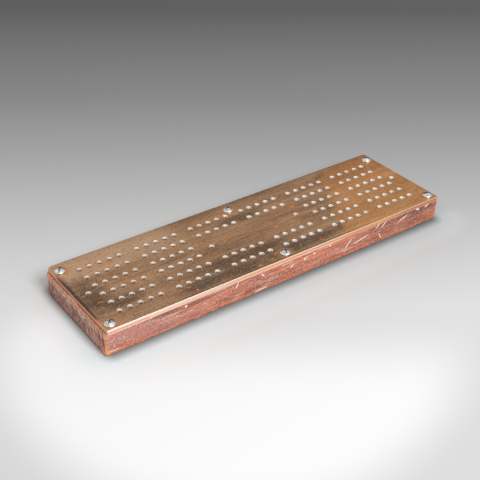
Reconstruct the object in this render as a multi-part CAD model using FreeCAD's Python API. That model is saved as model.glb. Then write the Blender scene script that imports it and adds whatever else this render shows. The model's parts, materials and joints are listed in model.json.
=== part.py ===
import FreeCAD, Part
import math
import os

# Cribbage box: a brass scoring plate screwed down on a shallow mahogany case, with a long peg
# drawer that slides out of the left end. The case is two long rails with a deck board, a bottom
# board and an end block glued between them.
# Millimetres. Origin: middle of the case's footprint, on the table.
# +X along the box to its closed end, +Y to the back, +Z up.

# Brass plate
plate_length = 268.0
plate_width = 78.5
plate_thickness = 2.3
plate_corner_radius = 1.2
plate_worn_corner_radius = 4.0      # the left back corner, rubbed rounder than the rest

# Case
case_height = 16.0
case_overhang = 1.7                 # how far the wood runs past the plate at the drawer end
front_rail_width = 7.5
back_rail_width = 10.8              # wider, because its screws stand further in
deck_thickness = 6.0
bottom_thickness = 2.5
bottom_rebate = 3.0                 # how far the bottom board is let in under each rail
end_block_length = 8.0
arris_radius = 0.6                  # ordinary wear along the front rail's lower edges
worn_top_radius = 1.2               # the upper edge of the drawer end, outside the plate
worn_foot_radius = 1.6              # the lower edge of the drawer's front
worn_back_foot_radius = 3.5         # the lower edge of the back rail's drawer end
worn_end_radius = 7.0               # the lower edge of the closed end, worn round
worn_back_radius = 5.5              # the lower back edge, worn round
worn_front_corner_radius = 1.2      # the upright left front corner of the wood
worn_case_corner_radius = 5.0       # the upright left back corner of the wood

# Peg holes: six groups of five columns in six rows, and four single game holes
peg_hole_diameter = 3.2
peg_hole_countersink = 0.25
peg_hole_depth = 5.0                # in the deck board, below the plate
column_pitch = 7.15
columns_in_group = 5
group_pitch = 41.62
group_count = 6
row_pitch = 10.3
row_count = 6
short_groups = (2, 3)               # the two middle groups have no holes in the middle rows
middle_rows = (2, 3)
field_shift_x = 0.5                 # the holes were drilled a little off the plate's middle
field_shift_y = -0.25

# Plate screws: slotted, with raised countersunk heads, each seated in a screw cup
screw_inset = 5.2                   # from the plate's ends and front edge to the screw's axis
screw_back_inset = 8.5              # from the plate's back edge
screw_head_diameter = 5.6
screw_dome_height = 0.9             # above the cup's rim
screw_shank_diameter = 2.9
screw_length = 10.0                 # below the plate's top
screw_tip_length = 2.5
screw_slot_width = 0.8
screw_slot_depth = 0.7
screw_hole_clearance = 0.25         # round the shank, in the plate
pilot_clearance = 0.05              # round the shank, in the wood
pilot_end_gap = 0.3
cup_diameter = 7.6
cup_height = 1.3
cup_seat_clearance = 0.03           # between the screw's cone and the cup
cup_skirt = 0.25                    # upright foot of the cup's outer wall

# Brads that hold the bottom board up to the rails
brad_diameter = 1.2
brad_head_diameter = 2.4
brad_head_height = 0.5
brad_length = 7.0
brad_recess = 0.2
brads_per_rail = 4
brad_end_distance = 38.0            # from each end of the bottom board to its first brad

# Drawer
drawer_front_thickness = 6.3
drawer_front_foot_gap = 0.3         # keeps the front off the table
drawer_front_head_gap = 0.2         # under the plate
drawer_side_gap = 0.3               # between drawer and rails, each side
drawer_end_gap = 0.3                # between the front and the boards that it closes against
drawer_floor_gap = 0.1
drawer_headroom = 0.4
drawer_back_space = 9.2             # left between the shut drawer and the end block
drawer_side_thickness = 2.4
drawer_side_housing = 2.0           # how far the sides are let into the back of the front
drawer_bottom_thickness = 1.5
drawer_bottom_rebate = 1.2
drawer_back_thickness = 2.4
divider_thickness = 2.4
divider_drop = 0.5                  # how far the divider stops below the sides
peg_bay_length = 62.0
drawer_hold = 46.2                  # how much of the drawer stays in the case when it is out
nail_groove_length = 20.0           # half-round, cut under the front for a fingernail
nail_groove_radius = 1.6

# Stop pin, through the back rail into a groove in the drawer's back side
stop_pin_diameter = 1.8
stop_pin_reach = 1.0                # into the groove
stop_pin_from_end = 20.0            # from the drawer end of the case
stop_groove_depth = 1.3
stop_groove_clearance = 0.25

# Pins that hold the drawer's sides to its back
drawer_pin_diameter = 0.9
drawer_pin_length = 6.0
drawer_pin_spread = 2.6             # between the two pins of one joint

# Pegs, turned
peg_length = 38.0
peg_ball_radius = 2.1
peg_neck_radius = 1.0
peg_collar_radius = 1.75
peg_collar_length = 0.8
peg_neck_end = 5.0                  # from the top of the ball to the collar
peg_shank_radius = 1.4
peg_tip_radius = 1.1
peg_floor_gap = 0.02
peg_from_front = 7.0                # from the drawer's front to the first peg's ball
peg_stagger = 4.0                   # every other peg lies this much further back
peg_lay_pitch = 7.4                 # from peg to peg across the drawer
peg_from_near_side = 12.5           # from the drawer's near side to the first peg
peg_turns = {"peg_bone_1": 2.0, "peg_bone_2": -3.5, "peg_ebony_1": 4.0, "peg_ebony_2": -2.0}

# Places worked out from the sizes above
case_length = plate_length + case_overhang
case_left = -case_length / 2
case_right = case_length / 2
case_front = -plate_width / 2
case_back = plate_width / 2
plate_left = case_left + case_overhang
plate_middle_x = plate_left + plate_length / 2
bay_front = case_front + front_rail_width   # the inner faces of the two rails
bay_back = case_back - back_rail_width
bay_middle = (bay_front + bay_back) / 2
boards_left = case_left + drawer_front_thickness + drawer_end_gap
boards_right = case_right - end_block_length
deck_bottom = case_height - deck_thickness
plate_top = case_height + plate_thickness
drawer_low = bottom_thickness + drawer_floor_gap
drawer_high = deck_bottom - drawer_headroom
drawer_near = bay_front + drawer_side_gap
drawer_far = bay_back - drawer_side_gap
drawer_floor = drawer_low + drawer_bottom_thickness
front_inner_face = case_left + drawer_front_thickness
drawer_end = boards_right - drawer_back_space
drawer_travel = drawer_end - front_inner_face - drawer_hold
stop_pin_x = case_left + stop_pin_from_end
stop_pin_z = (drawer_low + drawer_high) / 2

UP = FreeCAD.Vector(0, 0, 1)
BACK = FreeCAD.Vector(0, 1, 0)
RIGHT = FreeCAD.Vector(1, 0, 0)


def block(x0, x1, y0, y1, z0, z1):
    return Part.makeBox(x1 - x0, y1 - y0, z1 - z0, FreeCAD.Vector(x0, y0, z0))


def rod(diameter, length, x, y, z, direction):
    return Part.makeCylinder(diameter / 2, length, FreeCAD.Vector(x, y, z), direction)


def rounded_prism(low, high, radii, to_space, sweep):
    """A rectangle with its own radius at each corner, placed by to_space(u, v) and swept.
    The corners go round from (low, low): low-low, high-low, high-high, low-high."""
    corners = [(low[0], low[1]), (high[0], low[1]), (high[0], high[1]), (low[0], high[1])]
    starts = [(0, -1), (1, 0), (0, 1), (-1, 0)]      # the way along the outline into each corner
    edges = []
    last = None
    first = None
    for index, (corner, radius) in enumerate(zip(corners, radii)):
        into = starts[index]
        away = starts[(index + 1) % 4]
        begin = (corner[0] - into[0] * radius, corner[1] - into[1] * radius)
        end = (corner[0] + away[0] * radius, corner[1] + away[1] * radius)
        if last:
            edges.append(Part.LineSegment(to_space(*last), to_space(*begin)).toShape())
        if radius > 0:
            centre = (begin[0] + away[0] * radius, begin[1] + away[1] * radius)
            reach = radius * math.sqrt(0.5)
            middle = (centre[0] + (into[0] - away[0]) * reach, centre[1] + (into[1] - away[1]) * reach)
            edges.append(Part.Arc(to_space(*begin), to_space(*middle), to_space(*end)).toShape())
        first = first or begin
        last = end
    edges.append(Part.LineSegment(to_space(*last), to_space(*first)).toShape())
    return Part.Face(Part.Wire(edges)).extrude(sweep)


def turned(points, arcs):
    """A solid turned about Z from a half outline of (radius, height) points that starts and ends
    on the axis. arcs gives, for a point's index, a point that the way to the next one arcs through."""
    at = [FreeCAD.Vector(radius, 0, height) for radius, height in points]
    edges = []
    for index in range(len(at) - 1):
        if index in arcs:
            through = FreeCAD.Vector(arcs[index][0], 0, arcs[index][1])
            edges.append(Part.Arc(at[index], through, at[index + 1]).toShape())
        else:
            edges.append(Part.LineSegment(at[index], at[index + 1]).toShape())
    edges.append(Part.LineSegment(at[-1], at[0]).toShape())
    return Part.Face(Part.Wire(edges)).revolve(FreeCAD.Vector(0, 0, 0), UP, 360)


def moved(shape, x, y, z):
    copy = shape.copy()
    copy.translate(FreeCAD.Vector(x, y, z))
    return copy


def case_envelope(foot_radius):
    """The outside of the closed case, with its worn edges, that every outer board is cut to.
    The lower edge of the drawer end is worn by a different radius on each board."""
    side_view = rounded_prism(
        (case_left, 0), (case_right, case_height),
        (foot_radius, worn_end_radius, 0, worn_top_radius),
        lambda u, v: FreeCAD.Vector(u, case_front, v), BACK * plate_width)
    end_view = rounded_prism(
        (case_front, 0), (case_back, case_height), (arris_radius, worn_back_radius, 0, 0),
        lambda u, v: FreeCAD.Vector(case_left, u, v), RIGHT * case_length)
    top_view = rounded_prism(
        (case_left, case_front), (case_right, case_back),
        (worn_front_corner_radius, 0, 0, worn_case_corner_radius),
        lambda u, v: FreeCAD.Vector(u, v, 0), UP * case_height)
    return side_view.common(end_view).common(top_view)


def peg_hole_places():
    middle_x = plate_middle_x + field_shift_x
    first_x = middle_x - ((group_count - 1) * group_pitch + (columns_in_group - 1) * column_pitch) / 2
    places = []
    for group in range(group_count):
        for column in range(columns_in_group):
            for row in range(row_count):
                if group in short_groups and row in middle_rows:
                    continue
                x = first_x + group * group_pitch + column * column_pitch
                y = field_shift_y + (row - (row_count - 1) / 2) * row_pitch
                places.append((x, y))
    return places + [(x, field_shift_y) for x in game_hole_columns(first_x)]


def game_hole_columns(first_x):
    """One beyond each end of the field, and one at the inner end of each middle group's space."""
    group_length = (columns_in_group - 1) * column_pitch
    last_x = first_x + (group_count - 1) * group_pitch + group_length
    return [
        first_x - column_pitch,
        first_x + short_groups[0] * group_pitch,
        first_x + short_groups[1] * group_pitch + group_length,
        last_x + column_pitch,
    ]


def screw_places():
    xs = {"left": plate_left + screw_inset, "middle": plate_middle_x,
          "right": plate_left + plate_length - screw_inset}
    ys = {"front": case_front + screw_inset, "back": case_back - screw_back_inset}
    return {f"screw_{row}_{place}": (x, y) for row, y in ys.items() for place, x in xs.items()}


def screw():
    """One plate screw, with the plate's top at height 0. The head's cone is 45 degrees."""
    head = screw_head_diameter / 2
    shank = screw_shank_diameter / 2
    dome_radius = (head ** 2 + screw_dome_height ** 2) / (2 * screw_dome_height)
    half_angle = math.asin(head / dome_radius) / 2
    top = cup_height + screw_dome_height
    dome_through = (dome_radius * math.sin(half_angle), top - dome_radius * (1 - math.cos(half_angle)))
    body = turned(
        [(0, -screw_length), (shank, screw_tip_length - screw_length), (shank, cup_height - (head - shank)),
         (head, cup_height), (0, top)],
        {3: dome_through})
    slot = block(-head, head, -screw_slot_width / 2, screw_slot_width / 2, top - screw_slot_depth, top)
    return body.cut(slot)


def screw_cup():
    """The ring under one screw's head: a cone inside, a rounded wall outside."""
    rim = screw_head_diameter / 2 + cup_seat_clearance
    outer = cup_diameter / 2
    drop = cup_height - cup_skirt
    through = (rim + (outer - rim) * math.sqrt(0.5), cup_skirt + drop * math.sqrt(0.5))
    wall = turned([(0, 0), (outer, 0), (outer, cup_skirt), (rim, cup_height), (0, cup_height)],
                  {2: through})
    seat = turned([(0, 0), (rim - cup_height, 0), (rim, cup_height), (0, cup_height)], {})
    return wall.cut(seat)


def screw_cups():
    return Part.makeCompound([moved(screw_cup(), x, y, plate_top) for x, y in screw_places().values()])


def make_screws():
    slot_turns = (35, 80, -20, 60, 10, -50)          # degrees, as the screws happened to bite
    shapes = {}
    for (name, (x, y)), turn in zip(screw_places().items(), slot_turns):
        shape = screw()
        shape.rotate(FreeCAD.Vector(0, 0, 0), UP, turn)
        shapes[name] = moved(shape, x, y, plate_top)
    return shapes


def brass_plate():
    radius = plate_corner_radius
    plate = rounded_prism(
        (plate_left, case_front), (plate_left + plate_length, case_back),
        (radius, radius, radius, plate_worn_corner_radius),
        lambda u, v: FreeCAD.Vector(u, v, case_height), UP * plate_thickness)
    bore = peg_hole_diameter / 2
    drill = turned([(0, 0), (bore, 0), (bore, plate_thickness - peg_hole_countersink),
                    (bore + peg_hole_countersink, plate_thickness), (0, plate_thickness)], {})
    peg_holes = [moved(drill, x, y, case_height) for x, y in peg_hole_places()]
    wide = screw_shank_diameter + 2 * screw_hole_clearance
    screw_holes = [rod(wide, plate_thickness, x, y, case_height, UP) for x, y in screw_places().values()]
    return plate.cut(peg_holes + screw_holes)


def deck_board():
    board = block(boards_left, boards_right, bay_front, bay_back, deck_bottom, case_height)
    holes = [rod(peg_hole_diameter, peg_hole_depth, x, y, case_height - peg_hole_depth, UP)
             for x, y in peg_hole_places()]
    return board.cut(holes)


def end_block():
    board = block(boards_right, case_right, bay_front, bay_back, 0, case_height)
    return board.common(case_envelope(worn_foot_radius))


def rail(side, outer, inner, foot_radius):
    """side is -1 for the front rail and 1 for the back rail."""
    near, far = sorted((outer, inner))
    shape = block(case_left, case_right, near, far, 0, case_height).common(case_envelope(foot_radius))
    near, far = sorted((inner, inner + side * bottom_rebate))
    rebate = block(boards_left, boards_right, near, far, 0, bottom_thickness)
    pilot_depth = screw_length - plate_thickness + pilot_end_gap
    pilots = [rod(screw_shank_diameter + 2 * pilot_clearance, pilot_depth,
                  x, y, case_height - pilot_depth, UP)
              for x, y in screw_places().values() if y * side > 0]
    nail_holes = [moved(brad_hole(), x, y, 0) for x, y in brad_places() if y * side > 0]
    return shape.cut([rebate] + pilots + nail_holes)


def front_rail():
    return rail(-1, case_front, bay_front, arris_radius)


def back_rail():
    pin_hole = rod(stop_pin_diameter, back_rail_width, stop_pin_x, bay_back, stop_pin_z, BACK)
    return rail(1, case_back, bay_back, worn_back_foot_radius).cut(pin_hole)


def bottom_board():
    board = block(boards_left, boards_right, bay_front - bottom_rebate, bay_back + bottom_rebate,
                  0, bottom_thickness)
    return board.cut([moved(brad_hole(), x, y, 0) for x, y in brad_places()])


def brad_places():
    first = boards_left + brad_end_distance
    step = (boards_right - brad_end_distance - first) / (brads_per_rail - 1)
    lines = (bay_front - bottom_rebate / 2, bay_back + bottom_rebate / 2)
    return [(first + index * step, y) for y in lines for index in range(brads_per_rail)]


def brad():
    """One brad, point up, with its head let in above the table."""
    head = rod(brad_head_diameter, brad_head_height, 0, 0, brad_recess, UP)
    return head.fuse(rod(brad_diameter, brad_length, 0, 0, brad_recess, UP)).removeSplitter()


def brad_hole():
    head = rod(brad_head_diameter, brad_recess + brad_head_height, 0, 0, 0, UP)
    return head.fuse(rod(brad_diameter, brad_recess + brad_length, 0, 0, 0, UP)).removeSplitter()


def bottom_brads():
    return Part.makeCompound([moved(brad(), x, y, 0) for x, y in brad_places()])


def stop_pin():
    """Driven in from the back, flush with the rail, with its end in the drawer's groove."""
    length = back_rail_width + drawer_side_gap + stop_pin_reach
    return rod(stop_pin_diameter, length, stop_pin_x, case_back - length, stop_pin_z, BACK)


def drawer_side_block(y0, y1):
    return block(front_inner_face - drawer_side_housing, drawer_end, y0, y1, drawer_low, drawer_high)


def drawer_front():
    board = block(case_left, front_inner_face, drawer_near, drawer_far,
                  drawer_front_foot_gap, case_height - drawer_front_head_gap)
    nail_groove = rod(2 * nail_groove_radius, nail_groove_length, case_left + drawer_front_thickness / 2,
                      bay_middle - nail_groove_length / 2, drawer_front_foot_gap, BACK)
    near_housing = drawer_side_block(drawer_near, drawer_near + drawer_side_thickness)
    far_housing = drawer_side_block(drawer_far - drawer_side_thickness, drawer_far)
    return board.common(case_envelope(worn_foot_radius)).cut([nail_groove, near_housing, far_housing])


def drawer_bottom():
    inset = drawer_side_thickness - drawer_bottom_rebate
    return block(front_inner_face, drawer_end, drawer_near + inset, drawer_far - inset,
                 drawer_low, drawer_floor)


def drawer_pin_holes():
    """The drawer pins, two through each side into the drawer's back."""
    x = drawer_end - drawer_back_thickness / 2
    middle = (drawer_floor + drawer_high) / 2
    pins = []
    for step in (-0.5, 0.5):
        z = middle + step * drawer_pin_spread
        pins.append(rod(drawer_pin_diameter, drawer_pin_length, x, drawer_near, z, BACK))
        pins.append(rod(drawer_pin_diameter, drawer_pin_length, x, drawer_far, z, BACK * -1))
    return pins


def drawer_side_near():
    side = drawer_side_block(drawer_near, drawer_near + drawer_side_thickness)
    return side.cut([drawer_bottom()] + drawer_pin_holes())


def drawer_side_far():
    side = drawer_side_block(drawer_far - drawer_side_thickness, drawer_far)
    reach = stop_pin_diameter / 2 + stop_groove_clearance
    groove = block(stop_pin_x - reach, stop_pin_x + drawer_travel + reach,
                   drawer_far - stop_groove_depth, drawer_far,
                   stop_pin_z - reach, stop_pin_z + reach)
    return side.cut([drawer_bottom(), groove] + drawer_pin_holes())


def cross_board(x0, thickness, top):
    return block(x0, x0 + thickness, drawer_near + drawer_side_thickness,
                 drawer_far - drawer_side_thickness, drawer_floor, top)


def drawer_back():
    return cross_board(drawer_end - drawer_back_thickness, drawer_back_thickness,
                       drawer_high).cut(drawer_pin_holes())


def drawer_divider():
    return cross_board(front_inner_face + peg_bay_length, divider_thickness,
                       drawer_high - divider_drop)


def drawer_pins():
    return Part.makeCompound(drawer_pin_holes())


def peg():
    """One peg standing on the Z axis, ball at height 0 and tip below."""
    ball = peg_ball_radius
    neck_z = -ball - math.sqrt(ball ** 2 - peg_neck_radius ** 2)
    collar_end = -peg_neck_end - peg_collar_length
    tip_through = (peg_tip_radius * math.sqrt(0.5), -peg_length + peg_tip_radius * (1 - math.sqrt(0.5)))
    return turned(
        [(0, 0), (peg_neck_radius, neck_z), (peg_neck_radius, -peg_neck_end),
         (peg_collar_radius, -peg_neck_end), (peg_collar_radius, collar_end),
         (peg_shank_radius, collar_end), (peg_tip_radius, -peg_length + peg_tip_radius),
         (0, -peg_length)],
        {0: (ball, -ball), 6: tip_through})


def lying_peg(from_front, from_near_side, turn):
    """A peg laid on the drawer's floor, on its ball and its tip, pointing away from the front."""
    reach = peg_length - peg_ball_radius - peg_tip_radius
    dip = math.degrees(math.asin((peg_ball_radius - peg_tip_radius) / reach))
    shape = peg()
    ball_centre = FreeCAD.Vector(0, 0, -peg_ball_radius)
    shape.rotate(ball_centre, BACK, -90 + dip)
    shape.rotate(ball_centre, UP, turn)
    return moved(shape, front_inner_face + from_front, drawer_near + from_near_side,
                 drawer_floor + 2 * peg_ball_radius + peg_floor_gap)


def make_pegs():
    shapes = {}
    for index, (name, turn) in enumerate(peg_turns.items()):
        from_front = peg_from_front + peg_stagger * (index % 2)
        shapes[name] = lying_peg(from_front, peg_from_near_side + index * peg_lay_pitch, turn)
    return shapes


def every_piece():
    pieces = {
        "brass_plate": brass_plate(),
        "screw_cups": screw_cups(),
        "front_rail": front_rail(),
        "back_rail": back_rail(),
        "deck_board": deck_board(),
        "end_block": end_block(),
        "bottom_board": bottom_board(),
        "bottom_brads": bottom_brads(),
        "drawer_stop_pin": stop_pin(),
        "drawer_front": drawer_front(),
        "drawer_side_near": drawer_side_near(),
        "drawer_side_far": drawer_side_far(),
        "drawer_back": drawer_back(),
        "drawer_bottom": drawer_bottom(),
        "drawer_divider": drawer_divider(),
        "drawer_pins": drawer_pins(),
    }
    pieces.update(make_screws())
    pieces.update(make_pegs())
    return pieces


os.makedirs("parts", exist_ok=True)
for node, shape in every_piece().items():
    shape.exportStep(f"parts/{node}.step")
    print(node, len(shape.Solids), round(shape.Volume, 2), shape.isValid())
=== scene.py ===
import json
import math

import bpy
from mathutils import Matrix, Vector


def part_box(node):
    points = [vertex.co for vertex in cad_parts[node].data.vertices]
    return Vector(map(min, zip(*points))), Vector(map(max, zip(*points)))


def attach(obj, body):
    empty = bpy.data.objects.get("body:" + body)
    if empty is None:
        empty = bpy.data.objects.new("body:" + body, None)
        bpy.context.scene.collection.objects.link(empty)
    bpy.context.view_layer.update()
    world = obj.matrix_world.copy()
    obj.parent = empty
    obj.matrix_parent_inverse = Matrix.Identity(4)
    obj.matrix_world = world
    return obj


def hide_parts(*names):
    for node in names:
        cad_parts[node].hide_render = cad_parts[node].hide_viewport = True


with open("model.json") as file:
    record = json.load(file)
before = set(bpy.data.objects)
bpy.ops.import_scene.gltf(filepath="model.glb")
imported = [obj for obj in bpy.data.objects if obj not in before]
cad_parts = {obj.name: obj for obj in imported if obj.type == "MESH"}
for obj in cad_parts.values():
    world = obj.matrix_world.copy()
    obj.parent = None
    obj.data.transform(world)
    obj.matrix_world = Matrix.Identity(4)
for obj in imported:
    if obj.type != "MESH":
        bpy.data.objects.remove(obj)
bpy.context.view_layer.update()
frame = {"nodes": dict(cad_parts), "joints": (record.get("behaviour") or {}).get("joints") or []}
MM = 0.001


# ---- The bottom board ----
# A thin mahogany board, let in under the two rails and nailed up to them. It was never waxed, so
# it has gone dull, and sliding about on tables has rubbed and greyed its open face.

CLOSE = 0.01 * MM                    # nearer than this counts as the same place
SMOOTH_UP_TO = math.radians(35)      # sharper edges than this stay crisp


def colour(code):
    """A linear colour from an sRGB hex code."""
    parts = [int(code[i:i + 2], 16) / 255 for i in (1, 3, 5)]
    return [c / 12.92 if c <= 0.04045 else ((c + 0.055) / 1.055) ** 2.4 for c in parts] + [1.0]


def add(material, kind, inputs=None, stops=None, out=0, **settings):
    """Adds one node with its settings and gives its output. An input takes a value, a colour code
    or another node's output, and stops are a colour ramp's (place, colour code) pairs."""
    tree = material.node_tree
    node = tree.nodes.new(kind)
    for name, value in settings.items():
        setattr(node, name, value)
    for name, value in (inputs or {}).items():
        if isinstance(value, bpy.types.NodeSocket):
            tree.links.new(value, node.inputs[name])
        else:
            node.inputs[name].default_value = colour(value) if isinstance(value, str) else value
    if stops:
        ramp = node.color_ramp
        while len(ramp.elements) < len(stops):
            ramp.elements.new(0.5)
        for element, (place, code) in zip(ramp.elements, stops):
            element.position = place
            element.color = colour(code)
    return node.outputs[out] if node.outputs else None


def new_material(name):
    material = bpy.data.materials.new(name)
    material.use_nodes = True
    material.node_tree.nodes.clear()
    return material


def finish_material(material, paint, relief=None, relief_depth=None, **finish):
    """Joins the paint, the finish's numbers and any bump, its depth in mm, to the output."""
    if relief_depth:
        finish["Normal"] = add(material, "ShaderNodeBump", {
            "Height": relief, "Distance": relief_depth * MM})
    shader = add(material, "ShaderNodeBsdfPrincipled", {"Base Color": paint, **finish})
    add(material, "ShaderNodeOutputMaterial", {"Surface": shader})
    return material


def laid_out(material, size, turn=(0, 0, 0), place=(0, 0, 0)):
    """The piece's own coordinates, counted in a mark's size in mm, from its place in mm and along
    its turn in degrees."""
    piece = add(material, "ShaderNodeTexCoord", out="Object")
    return add(material, "ShaderNodeMapping", {
        "Vector": piece, "Location": [value * MM for value in place],
        "Rotation": [math.radians(value) for value in turn],
        "Scale": [value * MM for value in size]}, vector_type="TEXTURE")


def streaks(material, size, seed, turn=(0, 0, 0), detail=3.0):
    """Uneven marks of about this length, width and height in mm. A seed gives another stretch."""
    return add(material, "ShaderNodeTexNoise", {
        "Vector": laid_out(material, size, turn, (seed * 310, seed * 170, seed * 230)),
        "Scale": 1.0, "Detail": detail, "Roughness": 0.6})


def shown(material, pattern, low, high):
    """How far a pattern has come from low, where nothing shows, to high, where all does."""
    return add(material, "ShaderNodeMapRange", {
        "Value": pattern, "From Min": low, "From Max": high}, interpolation_type="SMOOTHSTEP")


def where_both(material, first, second):
    return add(material, "ShaderNodeMath", {0: first, 1: second}, operation="MULTIPLY")


def both_shown(material, first, second):
    """Where two patterns, each with its own low and high, are shown at once."""
    return where_both(material, shown(material, *first), shown(material, *second))


def stained(material, under, stain, pattern, low, high, strength=1.0):
    """One colour laid over another where a pattern runs from low to high."""
    cover = where_both(material, shown(material, pattern, low, high), strength)
    return add(material, "ShaderNodeMix", {0: cover, 6: under, 7: stain}, out=2, data_type="RGBA")


def layered(material, under, stains):
    """Stains laid one over another: each a colour, a pattern, its low and high and a strength."""
    for stain in stains:
        under = stained(material, under, *stain)
    return under


def bare_mahogany(name, grain_turn, light, dark, grime):
    """Planed and never finished: a dry, even brown with darker grain lines and no shine."""
    material = new_material(name)
    broad = streaks(material, (70, 5, 5), 1, grain_turn)
    lines = streaks(material, (22, 0.7, 0.7), 2, grain_turn, 4)
    pores = streaks(material, (4.0, 0.4, 0.4), 3, grain_turn, 1)
    handled = streaks(material, (30, 24, 24), 4, detail=5)
    paint = add(material, "ShaderNodeValToRGB", {"Fac": broad}, stops=[(0.35, dark), (0.65, light)])
    paint = layered(material, paint, [
        (dark, lines, 0.56, 0.70, 0.8), (grime, pores, 0.60, 0.72, 0.6),
        (grime, handled, 0.50, 0.68, 0.6)])
    return finish_material(material, paint, lines, 0.15, Roughness=0.68, IOR=1.5)


def block(name, low, high):
    """A plain block between two corners, selected, as the start of a board."""
    bpy.ops.object.select_all(action="DESELECT")
    low, high = Vector(low), Vector(high)
    bpy.ops.mesh.primitive_cube_add(size=1.0, location=(low + high) / 2, scale=high - low)
    piece = bpy.context.object
    piece.name = name
    bpy.ops.object.transform_apply()
    return piece


def round_edges(piece, radius, segments=4, **line):
    """Rounds the edges of a block that lie at the given x, y or z, or all if none is given."""
    bpy.context.view_layer.objects.active = piece
    bpy.ops.object.mode_set(mode="EDIT")
    bpy.ops.mesh.select_mode(type="EDGE")
    bpy.ops.mesh.select_all(action="DESELECT")
    bpy.ops.object.mode_set(mode="OBJECT")
    places = [vertex.co for vertex in piece.data.vertices]
    for edge in piece.data.edges:
        edge.select = all(abs(getattr(places[end], axis) - value) < CLOSE
                          for end in edge.vertices for axis, value in line.items())
    bpy.ops.object.mode_set(mode="EDIT")
    bpy.ops.mesh.bevel(offset=radius, segments=segments, affect="EDGES", clamp_overlap=False)
    bpy.ops.object.mode_set(mode="OBJECT")


def cut(piece, tool, operation="DIFFERENCE"):
    """Takes a tool's shape out of a piece, or keeps only what the two share. The tool is used up."""
    saw = piece.modifiers.new("saw", "BOOLEAN")
    saw.operation = operation
    saw.solver = "EXACT"
    saw.material_mode = "TRANSFER"
    saw.object = tool
    bpy.context.view_layer.objects.active = piece
    bpy.ops.object.modifier_apply(modifier=saw.name)
    bpy.data.objects.remove(tool)


def pick(piece):
    """Selects this piece alone."""
    bpy.ops.object.select_all(action="DESELECT")
    piece.select_set(True)
    bpy.context.view_layer.objects.active = piece


def fit(piece, material, body, material_slot, *nodes):
    """Gives a finished piece its material and smooth shading, puts it on its body and hides the nodes that
    it stands for.
    """
    if material not in piece.data.materials[:]:
        piece.data.materials.clear()
        piece.data.materials.append(material)
    pick(piece)
    bpy.ops.object.shade_smooth_by_angle(angle=SMOOTH_UP_TO)
    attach(piece, body)
    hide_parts(*nodes)
    return piece


def eased_board(node, ease=0.3):
    """A plain board as large as a node, with all its arrises eased by a little, in mm."""
    piece = block(node + "_board", *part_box(node))
    round_edges(piece, ease * MM, 2)
    return piece


base_wood = bare_mahogany("bare mahogany, rubbed", (0, 0, 0), "#a3745c", "#7d5140", "#5d463c")
fit(eased_board("bottom_board"), base_wood, "case", "case_mahogany", "bottom_board")


# ---- The brads ----
# Small wrought nails, driven up through the bottom board and punched in below its face, where
# they have rusted brown.

def mottled(name, size, seed, stops, relief_depth=None, **finish):
    """A finish with one uneven pattern of colours, marks of a size in mm, and a bump of the same
    pattern if it has a depth in mm."""
    material = new_material(name)
    pattern = streaks(material, size, seed)
    paint = add(material, "ShaderNodeValToRGB", {"Fac": pattern}, stops=stops)
    return finish_material(material, paint, pattern, relief_depth, **finish)


def refinish(node, material):
    """A node whose shape is right keeps it and gets its real material."""
    frame["nodes"][node].data.materials.clear()
    frame["nodes"][node].data.materials.append(material)


# Dark scale broken by browner rust, rough and hardly metallic.
refinish("bottom_brads", mottled("rusty iron", (0.7, 0.7, 0.7), 1, [
    (0.38, "#3a322e"), (0.52, "#5a4334"), (0.66, "#7c5238")], 0.05, Metallic=0.6, Roughness=0.62))


# ---- The two long rails ----
# Mahogany, sawn and planed, glued to the boards between them and waxed. A century of handling has
# rubbed the outer arrises round, the lower right end most of all, and left knocks and scratches.

WORN_END_RADIUS = 7.0 * MM           # the lower edge of the closed end
WORN_BACK_RADIUS = 5.5 * MM          # the lower back edge
WORN_FOOT_RADIUS = 1.6 * MM          # the lower edge of the drawer's front
WORN_BACK_FOOT_RADIUS = 3.5 * MM     # the lower edge of the back rail's drawer end
WORN_TOP_RADIUS = 1.2 * MM           # the upper edge of the drawer end
WORN_FRONT_CORNER_RADIUS = 1.2 * MM  # the upright left front corner
WORN_BACK_CORNER_RADIUS = 5.0 * MM   # the upright left back corner
ARRIS_RADIUS = 0.4 * MM              # the front rail's lower edges
BOARD_GRID = 0.5 * MM                # the finest knock that the wood's surface can hold
SCREW_PILOT_RADIUS = 1.5 * MM
SCREW_PILOT_DEPTH = 8.0 * MM

case_low, case_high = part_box("front_rail")[0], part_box("back_rail")[1]
bottom_low, bottom_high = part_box("bottom_board")
drawer_space = [corner.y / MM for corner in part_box("end_block")]  # from rail to rail, mm


def closed_case(foot_radius):
    """The whole worn outside of the closed box, which every outer board is cut to. The lower edge
    of the drawer end is worn by a different radius on each board."""
    low, high = case_low, case_high
    side_view = block("side view", low, high)
    round_edges(side_view, WORN_END_RADIUS, 12, x=high.x, z=low.z)
    round_edges(side_view, foot_radius, x=low.x, z=low.z)
    round_edges(side_view, WORN_TOP_RADIUS, x=low.x, z=high.z)
    end_view = block("end view", low, high)
    round_edges(end_view, WORN_BACK_RADIUS, 12, y=high.y, z=low.z)
    round_edges(end_view, ARRIS_RADIUS, y=low.y, z=low.z)
    top_view = block("top view", low, high)
    round_edges(top_view, WORN_BACK_CORNER_RADIUS, 8, x=low.x, y=high.y)
    round_edges(top_view, WORN_FRONT_CORNER_RADIUS, x=low.x, y=low.y)
    cut(side_view, end_view, "INTERSECT")
    cut(side_view, top_view, "INTERSECT")
    return side_view


def unevenness(name, kind, size, stops):
    """A texture that is 1 where the wood stays and 0 where it is let in most."""
    texture = bpy.data.textures.new(name, kind)
    texture.noise_scale = size * MM
    texture.use_color_ramp = True
    for element, (place, level) in zip(texture.color_ramp.elements, stops):
        element.position = place
        element.color = (level, level, level, 1.0)
    return texture


rubbing = unevenness("rubbing", "CLOUDS", 7.0, [(0.25, 0.0), (0.50, 1.0)])
knocks = unevenness("knocks", "VORONOI", 11.0, [(0.02, 0.0), (0.16, 1.0)])


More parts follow.
